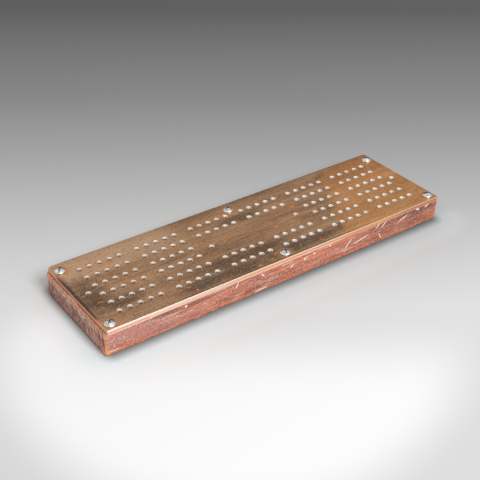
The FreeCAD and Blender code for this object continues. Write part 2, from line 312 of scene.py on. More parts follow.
def wear(piece, rub=0.12, knock=0.4):
    """Gives a board a fine mesh, softens its arrises and lets its surface in by up to rub and
    knock, in mm, so that it never grows."""
    finer = piece.modifiers.new("fine mesh", "REMESH")
    finer.mode = "VOXEL"
    finer.voxel_size = BOARD_GRID
    softer = piece.modifiers.new("soft arrises", "SMOOTH")
    softer.factor = 0.5
    softer.iterations = 2
    for texture, depth in ((rubbing, rub), (knocks, knock)):
        inwards = piece.modifiers.new(texture.name, "DISPLACE")
        inwards.texture = texture
        inwards.texture_coords = "LOCAL"
        inwards.mid_level = 1.0
        inwards.strength = depth * MM
    bpy.context.view_layer.objects.active = piece
    for name in [modifier.name for modifier in piece.modifiers]:
        bpy.ops.object.modifier_apply(modifier=name)


def each_axis(material, vector):
    """A vector's X, Y and Z."""
    return [add(material, "ShaderNodeSeparateXYZ", {"Vector": vector}, out=axis) for axis in "XYZ"]


def place_on(material):
    """The piece's own X, Y and Z, in mm."""
    piece = add(material, "ShaderNodeTexCoord", out="Object")
    return each_axis(material, add(
        material, "ShaderNodeVectorMath", {0: piece, "Scale": 1 / MM}, operation="SCALE"))


def facing(material):
    """How squarely a surface faces along X, Y and Z, each from 0 to 1."""
    normal = add(material, "ShaderNodeTexCoord", out="Normal")
    return each_axis(material, add(material, "ShaderNodeVectorMath", {0: normal}, operation="ABSOLUTE"))


def arrises(material):
    """Nothing on a flat face of a squared board, rising to 0.4 where an edge is rounded over."""
    along_x, along_y, along_z = facing(material)
    most = add(material, "ShaderNodeMath", {0: along_x, 1: along_y}, operation="MAXIMUM")
    most = add(material, "ShaderNodeMath", {0: most, 1: along_z}, operation="MAXIMUM")
    return add(material, "ShaderNodeMath", {0: 1.0, 1: most}, operation="SUBTRACT")


def spots(material, marks):
    """Soft-edged oval marks: 1 at each middle, 0 at the rims. A mark is its place and its size in
    mm and its turn in degrees."""
    cover = 0.0
    for place, size, turn in marks:
        mark = add(material, "ShaderNodeTexGradient", {
            "Vector": laid_out(material, [value / 2 for value in size], turn, place)},
            out="Fac", gradient_type="SPHERICAL")
        cover = add(material, "ShaderNodeMath", {0: mark, 1: cover}, operation="MAXIMUM")
    return cover


FRONT_SCRATCHES = (                  # x, z, length, width in mm and slope in degrees
    (-131, 2.6, 16, 1, 0), (-79, 12.9, 2.6, 2.2, 0), (-41, 12.6, 6, 1.3, 62),
    (-21, 12.6, 5, 1.4, -50), (-22, 2, 14, 1.4, 3), (3, 10.2, 6, 1.3, 38),
    (13.5, 11.6, 3.2, 2, 0), (21.5, 12.8, 3, 1.8, 0), (34.5, 14.3, 6, 1.2, -55),
    (51.3, 9.2, 11, 1.2, 48), (63, 8.6, 18, 1.2, 12), (78, 14, 7, 1.3, 48),
    (83.4, 13.2, 8, 1.2, 40), (80.5, 5, 8, 1.1, -62), (102, 11.8, 12, 1.3, 20),
    (115.5, 14.3, 5, 2, -22), (124.5, 14.2, 5, 1.9, 30))


def waxed_mahogany(name):
    """Old wax over red-brown wood: soft shine, brown grain lines, salmon and orange streaks. The
    left of the front has a dusty bloom and the right is browner. The wood is bare and orange where
    it is worn. The sawn ends show short upright strokes, tan above and dark red-brown below, and
    the joint next to the drawer's front has dark painted shade, wider than its gap."""
    material = new_material(name)
    along, across, height = place_on(material)
    front = case_low.y / MM
    left = case_low.x / MM

    # The long sides
    broad = streaks(material, (52, 3.4, 3.4), 1, detail=4)
    side = add(material, "ShaderNodeValToRGB", {"Fac": broad}, stops=[
        (0.30, "#a05c4a"), (0.42, "#b76e59"), (0.50, "#c87a64"), (0.60, "#d67e62"), (0.72, "#d89a82")])
    brown_lines = streaks(material, (26, 0.9, 0.9), 5, detail=4)
    orange_lines = streaks(material, (30, 0.9, 0.9), 9, detail=2)
    pale_lines = streaks(material, (16, 0.7, 0.7), 10)
    dusty = both_shown(material, (along, -20, -100),
                       (streaks(material, (30, 8, 8), 12, detail=5), 0.30, 0.60))
    browned = both_shown(material, (along, 35, 110),
                         (streaks(material, (24, 7, 7), 15, detail=5), 0.34, 0.56))
    # Painted shade: a dark brown band under the plate's edge at the left and at the right end, following
    # the grain lines
    shade_under_plate = where_both(material, spots(material, [
        ((-80, front, 13.0), (64, 9, 4.5), (0, 1.5, 0)), ((116, front, 13.6), (50, 9, 7.0), (0, 0, 0))]),
        shown(material, brown_lines, 0.30, 0.55))
    foot = both_shown(material, (height, 4.2, 1.6), (streaks(material, (34, 5, 5), 19), 0.38, 0.55))
    worn_right = where_both(material, spots(material, [((-left, front, 5.0), (30, 14, 14), (0, 0, 0))]),
                            shown(material, orange_lines, 0.36, 0.56))
    side = layered(material, side, [
        ("#743a32", brown_lines, 0.50, 0.62, 0.75), ("#ee8e5c", orange_lines, 0.56, 0.66, 0.75),
        ("#f6d2be", pale_lines, 0.57, 0.68, 0.75), ("#b4857a", dusty, 0, 1, 0.55),
        ("#985a3e", browned, 0, 1, 0.75), ("#6f4238", shade_under_plate, 0.05, 0.45, 0.75),
        ("#e8825a", foot, 0, 1, 0.75), ("#dc7440", worn_right, 0.05, 0.5, 0.85)])

    # The sawn ends
    strokes = streaks(material, (4.0, 0.95, 4.6), 24, (-20, 0, 0), 1)
    end = add(material, "ShaderNodeValToRGB", {"Fac": strokes}, stops=[
        (0.38, "#381a10"), (0.46, "#844a30"), (0.52, "#bc7c50"), (0.59, "#f8cc98")])
    low_down = both_shown(material, (height, 12.5, 8.5), (across, -20, -12))
    front_foot = both_shown(material, (height, 5.0, 2.0), (across, -10, -20))
    sparks = streaks(material, (1.5, 1.5, 1.5), 26, detail=1)
    # Painted shade: dark patches at the joint near the front of the left end, wider than the gap itself
    joint_shade = spots(material, [
        ((left, -32.9, 11.4), (6, 3.2, 9), (-16, 0, 0)), ((left, -37.2, 10.0), (4, 2.6, 10), (-10, 0, 0))])
    end = layered(material, end, [
        ("#6c2a18", low_down, 0, 1, 0.8), ("#fcbc8c", height, 11.5, 14.0, 0.6),
        ("#d8804c", across, -16, -36, 0.55), ("#d89470", height, 4.0, 1.0, 0.5),
        ("#fcb284", front_foot, 0, 1, 0.75), ("#6a2e1c", strokes, 0.47, 0.39, 0.6),
        ("#ffecd2", strokes, 0.55, 0.62, 0.6), ("#8a3016", height, 13.5, 11.0, 0.45),
        ("#c8582c", across, -20, -34, 0.22), ("#d9824c", sparks, 0.60, 0.68, 0.85),
        ("#2c1a18", joint_shade, 0.10, 0.40, 0.9)])
    paint = stained(material, side, end, facing(material)[0], 0.55, 0.75)

    # Mottling, pale flecks and scratches all over
    mottle = streaks(material, (1.5, 1.1, 1.1), 28, detail=2)
    flecks = streaks(material, (2.4, 0.9, 0.9), 31, (0, -30, 0), 1)
    patches = streaks(material, (26, 6, 6), 14, detail=2)
    pale = both_shown(material, (flecks, 0.60, 0.70), (patches, 0.48, 0.58))
    scratches = spots(material, [
        ((x, front, z), (length, 8, width), (0, -slope, 0))
        for x, z, length, width, slope in FRONT_SCRATCHES])
    paint = layered(material, paint, [
        ("#5f3a32", mottle, 0.52, 0.72, 0.6), ("#f4d0be", mottle, 0.46, 0.28, 0.55),
        ("#f8dccc", pale, 0, 1, 0.65), ("#fdebdc", scratches, 0.10, 0.40, 0.9)])

    # Bare wood along the arrises but not at the joints, a pale top strip that is partly rubbed wood and
    # partly a painted highlight, the ledge that the plate leaves free, and a painted highlight on the left
    # end's top arris
    joints = spots(material, [((x, y, 8), (12, 2.6, 40), (0, 0, 0))
                              for x in (left, -left) for y in drawer_space])
    outer_arrises = where_both(material, arrises(material), shown(material, joints, 0.5, 0.1))
    rubbed = where_both(material, outer_arrises, streaks(material, (16, 3, 3), 17, detail=4))
    # A pale strip along the top of the sides, palest at the left: partly rubbed wood and partly a painted
    # highlight where the arris catches the light
    top_edge = shown(material, height, 14.4, 15.2)
    pale_edge = where_both(material, top_edge, shown(material, along, 60, 35))
    ledge = where_both(material, top_edge, shown(material, along, left + 3.0, left + 2.2))
    dirty, orange = [where_both(material, ledge, shown(material, marks, 0.50, 0.60))
                     for marks in (mottle, sparks)]
    worn_corner = where_both(material, spots(material, [
        ((left, front, 1.5), (9, 9, 18), (0, 0, 0)), ((left, front, 13.8), (3.6, 3.6, 3), (0, 0, 0))]),
        shown(material, sparks, 0.36, 0.52))
    # Painted highlight: a small pale streak on the top arris of the left end
    shine = spots(material, [((left + 1.5, 3, 15.9), (1.4, 18, 1.0), (0, 0, 0))])
    paint = layered(material, paint, [
        ("#e08550", rubbed, 0.02, 0.09, 0.95), ("#dca084", top_edge, 0, 1, 0.6),
        ("#f4c6b4", pale_edge, 0, 1, 0.75), ("#bc866c", ledge, 0, 1, 0.8),
        ("#6a3c2c", dirty, 0, 1, 0.6), ("#e89060", orange, 0, 1, 0.8),
        ("#f2a05a", worn_corner, 0.10, 0.45, 0.85), ("#ffe6d4", shine, 0.15, 0.50, 0.6)])
    return finish_material(material, paint, brown_lines, 0.12, Roughness=0.45, IOR=1.5)


rail_wood = waxed_mahogany("waxed mahogany")
screw_nodes = [f"screw_{row}_{place}"
               for row in ("front", "back") for place in ("left", "middle", "right")]


def centre_of(node):
    low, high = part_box(node)
    return (low + high) / 2


def outer_board(node, foot_radius):
    """A node's block with the worn outside of the case."""
    board = block(node + "_worn", *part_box(node))
    cut(board, closed_case(foot_radius), "INTERSECT")
    return board


def rod(radius, length, middle, turn=(0, 0, 0)):
    """A round rod, upright unless it is turned, to cut a hole or a groove with."""
    bpy.ops.mesh.primitive_cylinder_add(
        vertices=24, radius=radius, depth=length, location=middle, rotation=turn)
    return bpy.context.object


def long_rail(node, foot_radius):
    """A rail with the bottom board's rebate, and pilot holes for the screws that stand over it."""
    rail = outer_board(node, foot_radius)
    cut(rail, block("rebate", (bottom_low.x, bottom_low.y, case_low.z - MM), bottom_high))
    low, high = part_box(node)
    for screw in screw_nodes:
        middle = centre_of(screw)
        if low.y < middle.y < high.y:
            cut(rail, rod(SCREW_PILOT_RADIUS, 2 * SCREW_PILOT_DEPTH, (middle.x, middle.y, high.z)))
    wear(rail)
    return fit(rail, rail_wood, "case", "case_mahogany", node)


long_rail("front_rail", ARRIS_RADIUS)
long_rail("back_rail", WORN_BACK_FOOT_RADIUS)


# ---- The end block ----
# A short block across the closed end, glued between the rails and worn round with them.

end_block = outer_board("end_block", WORN_FOOT_RADIUS)
wear(end_block)
fit(end_block, rail_wood, "case", "case_mahogany", "end_block")


# ---- The deck board ----
# The board under the plate, drilled on through the plate's holes. Only the bottoms of the holes
# and the roof of the drawer's space show it, dry and dark.

refinish("deck_board", bare_mahogany("bare mahogany, shut in", (0, 0, 0), "#7a4f3c", "#54362b", "#3c2a24"))


# ---- The drawer ----
# The front is a block of the waxed mahogany that closes the left end flush with the rails, with a
# half-round fingernail groove cut underneath. Behind it two thin sides, a bottom, a back and a
# divider are let into each other and pinned, all left bare.

NAIL_GROOVE_RADIUS = 1.6 * MM
NAIL_GROOVE_LENGTH = 20.0 * MM
STOP_GROOVE_DEPTH = 1.3 * MM
STOP_GROOVE_REACH = 1.15 * MM        # from the stop pin's axis to the groove's edges
THIN_BOARD_EASE = 0.25               # mm, on the arrises of the sides, back and divider
THIN_BOTTOM_EASE = 0.15

front_low, front_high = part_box("drawer_front")
drawer_front = outer_board("drawer_front", WORN_FOOT_RADIUS)
for node in ("drawer_side_near", "drawer_side_far"):
    cut(drawer_front, block("housing", *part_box(node)))
front_middle = (front_low + front_high) / 2
cut(drawer_front, rod(NAIL_GROOVE_RADIUS, NAIL_GROOVE_LENGTH,
                      (front_middle.x, front_middle.y, front_low.z), (math.pi / 2, 0, 0)))
wear(drawer_front)
fit(drawer_front, rail_wood, "drawer", "drawer_mahogany", "drawer_front")

drawer_wood = bare_mahogany("bare mahogany, drawer", (0, 0, 0), "#b17f60", "#8c5b44", "#5f4032")
cross_wood = bare_mahogany("bare mahogany, across", (0, 0, 90), "#a97658", "#84543e", "#5f4032")
stop_pin = centre_of("drawer_stop_pin")
travel = frame["joints"][0]["range_m"][1]
for node in ("drawer_side_near", "drawer_side_far"):
    side = eased_board(node, THIN_BOARD_EASE)
    cut(side, block("rebate", *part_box("drawer_bottom")))
    if node == "drawer_side_far":
        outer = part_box(node)[1].y
        cut(side, block("groove", (
            stop_pin.x - STOP_GROOVE_REACH, outer - STOP_GROOVE_DEPTH, stop_pin.z - STOP_GROOVE_REACH), (
            stop_pin.x + travel + STOP_GROOVE_REACH, outer + MM, stop_pin.z + STOP_GROOVE_REACH)))
    fit(side, drawer_wood, "drawer", "drawer_mahogany", node)
drawer_floor = eased_board("drawer_bottom", THIN_BOTTOM_EASE)
fit(drawer_floor, drawer_wood, "drawer", "drawer_mahogany", "drawer_bottom")
for node in ("drawer_back", "drawer_divider"):
    fit(eased_board(node, THIN_BOARD_EASE), cross_wood, "drawer", "drawer_mahogany", node)


# ---- The drawer's pins and its stop ----
# Brass wire driven through the corners, and one thicker brass pin through the back rail that
# catches in a groove along the drawer's side. All are dull with age, and spotted brown.

pin_brass = mottled("dull brass", (0.6, 0.6, 0.6), 5, [
    (0.36, "#6d5434"), (0.52, "#9a7a48"), (0.68, "#c09c5c")], 0.02, Metallic=0.9, Roughness=0.45)
refinish("drawer_pins", pin_brass)
refinish("drawer_stop_pin", pin_brass)


# ---- The pegs ----
# Two of bone and two of ebony, turned between centres: a ball to hold them by, a neck, a collar
# and a long shank, with two fine rings cut below the collar.

PEG_LENGTH = 38.0
PEG_BALL_RADIUS = 2.1
PEG_TIP_RADIUS = 1.1
PEG_RINGS = [                        # radius and distance below the ball's middle, mm
    (1.00, 1.85), (0.95, 2.4), (1.05, 2.8), (1.70, 2.9), (1.75, 3.1), (1.75, 3.5), (1.60, 3.7),
    (1.40, 3.8), (1.40, 4.6), (1.28, 4.75), (1.40, 4.9), (1.40, 5.5), (1.28, 5.65), (1.40, 5.8)]
BALL_ARC = (6, 150)                  # degrees down from the top of a ball
TIP_ARC = (90, 172)
PEG_TURNS = {"peg_bone_1": 2.0, "peg_bone_2": -3.5, "peg_ebony_1": 4.0, "peg_ebony_2": -2.0}
ROUND_STEPS = 7


def turned_piece(name, rings, sides=24, is_hollow=False):
    """A piece turned about the Z axis through (radius, height) rings: solid from one end to the
    other, or hollow, where the last ring is joined to the first."""
    bpy.ops.object.select_all(action="DESELECT")
    radius, height = rings[0]
    bpy.ops.mesh.primitive_circle_add(vertices=sides, radius=radius, location=(0, 0, height),
                                      fill_type="NOTHING" if is_hollow else "NGON")
    piece = bpy.context.object
    piece.name = name
    bpy.ops.object.transform_apply()
    bpy.ops.object.mode_set(mode="EDIT")
    for (last_radius, last_height), (radius, height) in zip(rings, rings[1:]):
        bpy.ops.mesh.extrude_region_move(
            TRANSFORM_OT_translate={"value": (0, 0, height - last_height)})
        grow = radius / last_radius
        bpy.ops.transform.resize(value=(grow, grow, 1), center_override=(0, 0, height))
    if is_hollow:
        bpy.ops.mesh.select_all(action="DESELECT")
        bpy.ops.mesh.select_mode(type="EDGE")
        bpy.ops.mesh.select_non_manifold()
        bpy.ops.mesh.bridge_edge_loops()
    bpy.ops.mesh.select_all(action="SELECT")
    bpy.ops.mesh.normals_make_consistent()
    bpy.ops.object.mode_set(mode="OBJECT")
    return piece


def place_piece(piece, place):
    """Moves and turns a finished piece, and leaves its origin at the scene's."""
    piece.matrix_world = place
    pick(piece)
    bpy.ops.object.transform_apply()


def arc_rings(radius, start, end, steps):
    """Points round part of a ball, as (radius, height), by the angle down from its top."""
    angles = [math.radians(start + (end - start) * step / steps) for step in range(steps + 1)]
    return [(radius * math.sin(angle), radius * math.cos(angle)) for angle in angles]


def peg_rings():
    """The peg's outline in mm, from its ball down to its tip, about the ball's middle."""
    ball = arc_rings(PEG_BALL_RADIUS, *BALL_ARC, 2 * ROUND_STEPS)
    drop = PEG_LENGTH - PEG_BALL_RADIUS - PEG_TIP_RADIUS
    tip = [(radius, height - drop)
           for radius, height in arc_rings(PEG_TIP_RADIUS, *TIP_ARC, ROUND_STEPS)]
    return ball + [(radius, -depth) for radius, depth in PEG_RINGS] + tip


def bone():
    """Cattle bone, polished by fingers: warm cream, glossy, with faint brown flecks and canals
    that run along the peg."""
    material = new_material("polished bone")
    canals = streaks(material, (9.0, 0.35, 0.35), 2)
    paint = add(material, "ShaderNodeValToRGB", {"Fac": canals}, stops=[
        (0.30, "#b89a70"), (0.42, "#dcc8a2"), (0.56, "#ece0c4"), (0.70, "#f2ead6")])
    stain = streaks(material, (12, 5, 5), 6)
    paint = stained(material, paint, "#c9a876", stain, 0.52, 0.72, 0.6)
    return finish_material(material, paint, canals, 0.02, Roughness=0.32, IOR=1.54)


# Polished ebony is nearly black, with dark brown grain lines along the peg.
ebony = mottled("polished ebony", (14.0, 0.4, 0.4), 8, [
    (0.38, "#1c1614"), (0.56, "#2a1f1b"), (0.70, "#4a3629")], 0.03, Roughness=0.3, IOR=1.5)
peg_materials = {"bone": bone(), "ebony": ebony}
dip = math.asin((PEG_BALL_RADIUS - PEG_TIP_RADIUS) / (PEG_LENGTH - PEG_BALL_RADIUS - PEG_TIP_RADIUS))
for node, turn in PEG_TURNS.items():
    low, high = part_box(node)
    ball = PEG_BALL_RADIUS * MM
    ball_y = low.y + ball if turn > 0 else high.y - ball
    peg = turned_piece(node + "_turned", [(radius * MM, height * MM) for radius, height in peg_rings()])
    place_piece(peg, Matrix.Translation((low.x + ball, ball_y, high.z - ball))
                @ Matrix.Rotation(math.radians(turn), 4, "Z")
                @ Matrix.Rotation(dip - math.pi / 2, 4, "Y"))
    kind = node.split("_")[1]
    fit(peg, peg_materials[kind], "drawer", kind, node)


# ---- The brass plate ----
# Sheet brass 2.3 mm thick, sawn out, drilled and countersunk for the pegs, and screwed down.
# Handling has browned it to a satin skin, and a golden reflection is painted on it at the closed end.

PLATE_CORNER_RADIUS = 1.2 * MM
PLATE_WORN_CORNER_RADIUS = 4.0 * MM
PLATE_ARRIS = 0.3 * MM
HOLE_RADIUS = 1.55 * MM
HOLE_FOOT_RADIUS = 1.2 * MM          # a crust of dried polish narrows each hole downwards
COUNTERSINK = 0.35 * MM
DISH_RADIUS = 2.3 * MM               # pegs have rubbed a faint hollow round each hole
DISH_DEPTH = 0.04 * MM
SHADED_WAY = (0.81, -0.59, 0)        # the hole walls that face this way get painted shade
COLUMN_PITCH = 7.15 * MM
COLUMNS_IN_GROUP = 5
GROUP_PITCH = 41.62 * MM
GROUP_COUNT = 6
ROW_PITCH = 10.3 * MM
ROW_COUNT = 6
SHORT_GROUPS = (2, 3)                # these two have no holes in the middle rows
MIDDLE_ROWS = (2, 3)
FIELD_SHIFT = Vector((0.5, -0.25)) * MM
SCREW_HOLE_RADIUS = 1.7 * MM
GOLD_START = 82.0                    # mm, where the golden painted reflection begins, its drift counted in
GOLD_FULL = 94.0
GOLD_LEAN = -0.55                    # how its edge leans across the plate
GOLD_DRIFT = 40.0                    # mm, the most that its edge wanders
RING = 16.0                          # mm, the copper-red ring round a screw
BARE_SPOTS = (                       # x, y, length, width in mm and turn in degrees
    (-103.3, 21.4, 7, 3.4, 5), (-96.8, 21.4, 6, 3.4, -8), (-101, 3.2, 2.6, 1.8, 30),
    (-107.7, 1.6, 2.4, 1.8, 0), (-111.6, 10.4, 2.2, 1.6, 0), (-97.5, 0.1, 2.6, 1.6, 10),
    (-122.1, -12.4, 6, 1.1, -24), (-70.6, -22.1, 2.6, 2.2, 0), (-71, -30.2, 4, 1.7, -15),
    (-76.6, -30.1, 2.2, 1.8, 0), (-67.8, -35.2, 1.8, 3, -20), (-20.9, -36.6, 5, 1.6, -25),
    (-4.5, -30.9, 4.6, 1.7, 12), (-10.4, -35.2, 2.8, 1.7, 0), (30.9, -35.2, 4.6, 1.5, -30),
    (24.6, 6.6, 2.8, 2, 0), (34, 15.2, 3, 2.2, 20), (40.5, 8.8, 5, 4.4, 0),
    (63.3, 33.9, 3.6, 2.2, 0), (116, 9.6, 2.6, 2.4, 0), (15.8, -5.5, 4, 2.2, 15))
DARK_STAINS = (                      # the same measures
    (-126, -13.4, 26, 30, 0), (-112, -19.4, 46, 18, 4), (-60, -32.5, 60, 16, 2),
    (-32, -33, 66, 17, -2), (8, -32, 70, 17, 0), (84.5, 28.6, 28, 15, 30),
    (-131.4, 2, 7, 76, 0), (-124, 0, 34, 44, 0), (-24, -22, 120, 22, 0),
    (28, -31.5, 60, 16, 0), (1, 18, 60, 13, 0), (58, -31, 36, 16, 0))


def peg_hole_places(middle):
    """The holes of the field, and then the four game holes on its middle line."""
    group_length = (COLUMNS_IN_GROUP - 1) * COLUMN_PITCH
    first = middle.x + FIELD_SHIFT.x - ((GROUP_COUNT - 1) * GROUP_PITCH + group_length) / 2
    middle_y = middle.y + FIELD_SHIFT.y
    places = []
    for group in range(GROUP_COUNT):
        for column in range(COLUMNS_IN_GROUP):
            for row in range(ROW_COUNT):
                if group in SHORT_GROUPS and row in MIDDLE_ROWS:
                    continue
                places.append((first + group * GROUP_PITCH + column * COLUMN_PITCH,
                               middle_y + (row - (ROW_COUNT - 1) / 2) * ROW_PITCH))
    game_holes = (first - COLUMN_PITCH, first + SHORT_GROUPS[0] * GROUP_PITCH,
                  first + SHORT_GROUPS[1] * GROUP_PITCH + group_length,
                  first + (GROUP_COUNT - 1) * GROUP_PITCH + group_length + COLUMN_PITCH)
    return places + [(x, middle_y) for x in game_holes]


def copies(piece, places):
    """One joined piece made of a copy of this one at each place. The pattern itself goes."""
    made = []
    for x, y in places:
        copy = piece.copy()
        copy.data = piece.data.copy()
        copy.location = (x, y, 0)
        bpy.context.collection.objects.link(copy)
        made.append(copy)
    bpy.ops.object.select_all(action="DESELECT")
    for copy in made:
        copy.select_set(True)
    bpy.context.view_layer.objects.active = made[0]
    bpy.ops.object.join()
    bpy.ops.object.transform_apply()
    bpy.data.objects.remove(piece)
    return made[0]


def aged_brass(top, screws):
    """Rolled brass under a brown skin of handling: satin, streaked along its length, mottled, with a
    golden painted reflection at the closed end and copper-red spots where the skin has lifted. top
    is in mm and screws are the screws' places, each with a ring rubbed bare round it."""
    material = new_material("aged brass")
    along, across, height = place_on(material)
    left = plate_low.x / MM
    front = plate_low.y / MM

    def on_top(marks):
        """Marks on the plate's face: x, y, length and width in mm and turn in degrees."""
        return spots(material, [((x, y, top), (length, width, 12), (0, 0, turn))
                                for x, y, length, width, turn in marks])

    # The brown skin, paler along the back at the drawer's end
    cloud = streaks(material, (64, 15, 15), 2, detail=4)
    skin = add(material, "ShaderNodeValToRGB", {"Fac": cloud}, stops=[
        (0.34, "#a27a5a"), (0.50, "#ba8d68"), (0.66, "#ce9e76")])
    dark_lines = streaks(material, (90, 1.6, 3), 6)
    pale_lines = streaks(material, (70, 1.1, 3), 7)
    back_band = both_shown(material, (across, 6, 24), (along, -25, -70))
    wobble = streaks(material, (26, 14, 14), 8, detail=4)
    stains = where_both(material, on_top(DARK_STAINS), shown(material, wobble, 0.1, 0.55))
    skin = layered(material, skin, [
        ("#8d6a50", dark_lines, 0.50, 0.70, 0.5), ("#e6bc96", pale_lines, 0.54, 0.70, 0.5),
        ("#e8bc96", back_band, 0, 1, 0.75), ("#6a5444", stains, 0.0, 0.7, 0.8)])

    # A golden painted reflection at the closed end, its edge leaning across the plate and wandering
    lean = add(material, "ShaderNodeMath", {0: across, 1: GOLD_LEAN}, operation="MULTIPLY")
    reach = add(material, "ShaderNodeMath", {0: along, 1: lean}, operation="ADD")
    drift = add(material, "ShaderNodeMath", {0: wobble, 1: GOLD_DRIFT}, operation="MULTIPLY")
    golden = add(material, "ShaderNodeMath", {0: reach, 1: drift}, operation="ADD")
    gold = layered(material, "#e6a468", [
        ("#cc8c52", cloud, 0.38, 0.60), ("#a8703e", dark_lines, 0.50, 0.70, 0.35)])
    skin = stained(material, skin, gold, golden, GOLD_START, GOLD_FULL, 0.95)

    # Fine mottling, copper-red rings and spots, and long scratches
    mottle = streaks(material, (1.7, 1.4, 1.4), 10, detail=2)
    ragged = add(material, "ShaderNodeMath", {0: mottle, 1: 1.1}, operation="MULTIPLY")
    halo = where_both(material, on_top([(x, y, RING, RING, 0) for x, y in screws]), ragged)
    lifted = where_both(material, on_top(BARE_SPOTS), ragged)
    skin = layered(material, skin, [
        ("#4c3628", mottle, 0.52, 0.74, 0.5), ("#f6cda4", mottle, 0.46, 0.28, 0.4),
        ("#dc8e5e", halo, 0.04, 0.24, 0.65), ("#ff8e52", lifted, 0.08, 0.20, 0.95)])
    for seed, slant in ((41, 4), (42, -7), (43, 14)):
        scratch = streaks(material, (26, 0.7, 2), seed, (0, 0, slant), 1)
        skin = stained(material, skin, "#f8dcbc", scratch, 0.68, 0.76, 0.5)

    # Grime along the left and front edges, and metal rubbed bright at the left corners
    to_end, to_side, flat = facing(material)
    by_left = where_both(material, shown(material, along, left + 2.6, left + 1.4),
                         on_top([(left, 0, 12, 66, 0)]))
    by_front = where_both(material, shown(material, across, front + 1.8, front + 0.6),
                          on_top([(-10, front, 230, 12, 0)]))
    mid_edge = spots(material, [((left, 0, top), (40, 66, 40), (0, 0, 0))])
    at_corners = both_shown(material, (along, left + 1.8, left + 0.8), (mid_edge, 0.3, 0.1))
    skin = layered(material, skin, [
        ("#382a22", by_left, 0.0, 0.4, 0.65), ("#382a22", by_front, 0.0, 0.4, 0.5),
        ("#5c4636", flat, 0.998, 0.95, 0.7), ("#dc9a70", at_corners, 0, 1, 0.8)])

    # The rim: paler at the left, with painted shade low down at the drawer's end, and a painted highlight
    # line below the front arris, which is also polished smoother there
    left_foot = both_shown(material, (height, top - 1.5, top - 1.9), (along, -102, -108))
    # Painted shade low on the rim of the drawer's end, under the wood's ledge
    low_end_shade = where_both(material, shown(material, height, top - 1.3, top - 1.8), to_end)
    rim = layered(material, "#ffdcc4", [
        ("#ffb87c", along, -62, -30), ("#d89468", along, 84, 108),
        ("#b48a74", left_foot, 0, 1, 0.7), ("#d8a080", to_end, 0.2, 0.6),
        ("#7a4c38", low_end_shade, 0.2, 0.6, 0.45)])
    skin = stained(material, skin, rim, flat, 0.85, 0.60)
    # Painted highlight: a white line along the upper rim of the long sides, where the roughness is also
    # lower
    polished = both_shown(material, (height, top - 1.1, top - 0.7), (to_side, 0.75, 0.92))
    bright = stained(material, "#fff6ee", "#ffdcbc", along, 10, 80)
    skin = stained(material, skin, bright, polished, 0, 1, 0.95)
    dull = add(material, "ShaderNodeMapRange", {
        "Value": mottle, "From Min": 0.3, "From Max": 0.7, "To Min": 0.34, "To Max": 0.48})
    roughness = add(material, "ShaderNodeMix", {0: polished, 2: dull, 3: 0.25}, data_type="FLOAT")
    return finish_material(material, skin, mottle, 0.03, Metallic=0.85, Roughness=roughness)


def dried_polish():
    """What is left of years of metal polish in the holes: cream-white, chalky and quite dull. Some
    holes have less of it. It is browner at the drawer's end, with painted shade on the walls that
    face one way and low down in each hole, most of all at the drawer's end."""
    material = new_material("dried polish")
    along, _, height = place_on(material)
    crumbs = streaks(material, (0.9, 0.9, 0.9), 3, detail=2)
    paint = add(material, "ShaderNodeValToRGB", {"Fac": crumbs}, stops=[
        (0.36, "#f6eada"), (0.44, "#fdf8f0")])
    worn_out = streaks(material, (8, 8, 8), 16, detail=1)
    normal = add(material, "ShaderNodeTexCoord", out="Normal")
    shaded_side = add(material, "ShaderNodeVectorMath", {0: normal, 1: SHADED_WAY},
                    out="Value", operation="DOT_PRODUCT")
    top = plate_high.z / MM
    deep_shade = both_shown(material, (height, top - 1.1, top - 1.7), (along, 60, -60))
    # Painted shade: browner on the walls that face one way, and dark low down in each hole
    paint = layered(material, paint, [
        ("#d0b8a4", worn_out, 0.54, 0.66, 0.4), ("#ecd0bc", along, -70, -95, 0.4),
        ("#a06a4a", shaded_side, 0.25, 0.80, 0.6), ("#4a3426", deep_shade, 0, 1, 0.75)])
    return finish_material(material, paint, Roughness=0.8, IOR=1.45)


plate_low, plate_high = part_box("brass_plate")
plate = block("scoring_plate", plate_low, plate_high)
plate_middle = (plate_low + plate_high) / 2
round_edges(plate, PLATE_WORN_CORNER_RADIUS, 8, x=plate_low.x, y=plate_high.y)
for corner in (plate_low, Vector((plate_high.x, plate_low.y)), plate_high):
    round_edges(plate, PLATE_CORNER_RADIUS, 6, x=corner.x, y=corner.y)
round_edges(plate, PLATE_ARRIS, 3, z=plate_high.z)
screw_places = [tuple(centre_of(node).xy) for node in screw_nodes]
plate_brass = aged_brass(plate_high.z / MM, [(x / MM, y / MM) for x, y in screw_places])
plate.data.materials.append(plate_brass)

spare = MM
drill = turned_piece("drill", [
    (HOLE_FOOT_RADIUS, plate_low.z - spare), (HOLE_RADIUS, plate_high.z - COUNTERSINK),
    (HOLE_RADIUS + COUNTERSINK, plate_high.z - DISH_DEPTH), (DISH_RADIUS, plate_high.z),
    (DISH_RADIUS + spare, plate_high.z + spare)])
drill.data.materials.append(dried_polish())
# Dirt and wax in the hollows round the holes, dark brown crumbs that dull the brass, and painted shade
# round each hole's rim.
drill.data.materials.append(mottled("grime and rim shade", (1.6, 1.6, 1.6), 7, [
    (0.36, "#4c3626"), (0.52, "#80593f"), (0.68, "#a8784f")], Metallic=0.4, Roughness=0.5))
for face in drill.data.polygons:
    face.material_index = int(face.center.z > plate_high.z - DISH_DEPTH)
cut(plate, copies(drill, peg_hole_places(plate_middle)))
screw_drill = turned_piece("screw drill", [
    (SCREW_HOLE_RADIUS, plate_low.z - spare), (SCREW_HOLE_RADIUS, plate_high.z + spare)])
screw_drill.data.materials.append(plate_brass)
cut(plate, copies(screw_drill, screw_places))
fit(plate, plate_brass, "case", "plate_brass", "brass_plate")


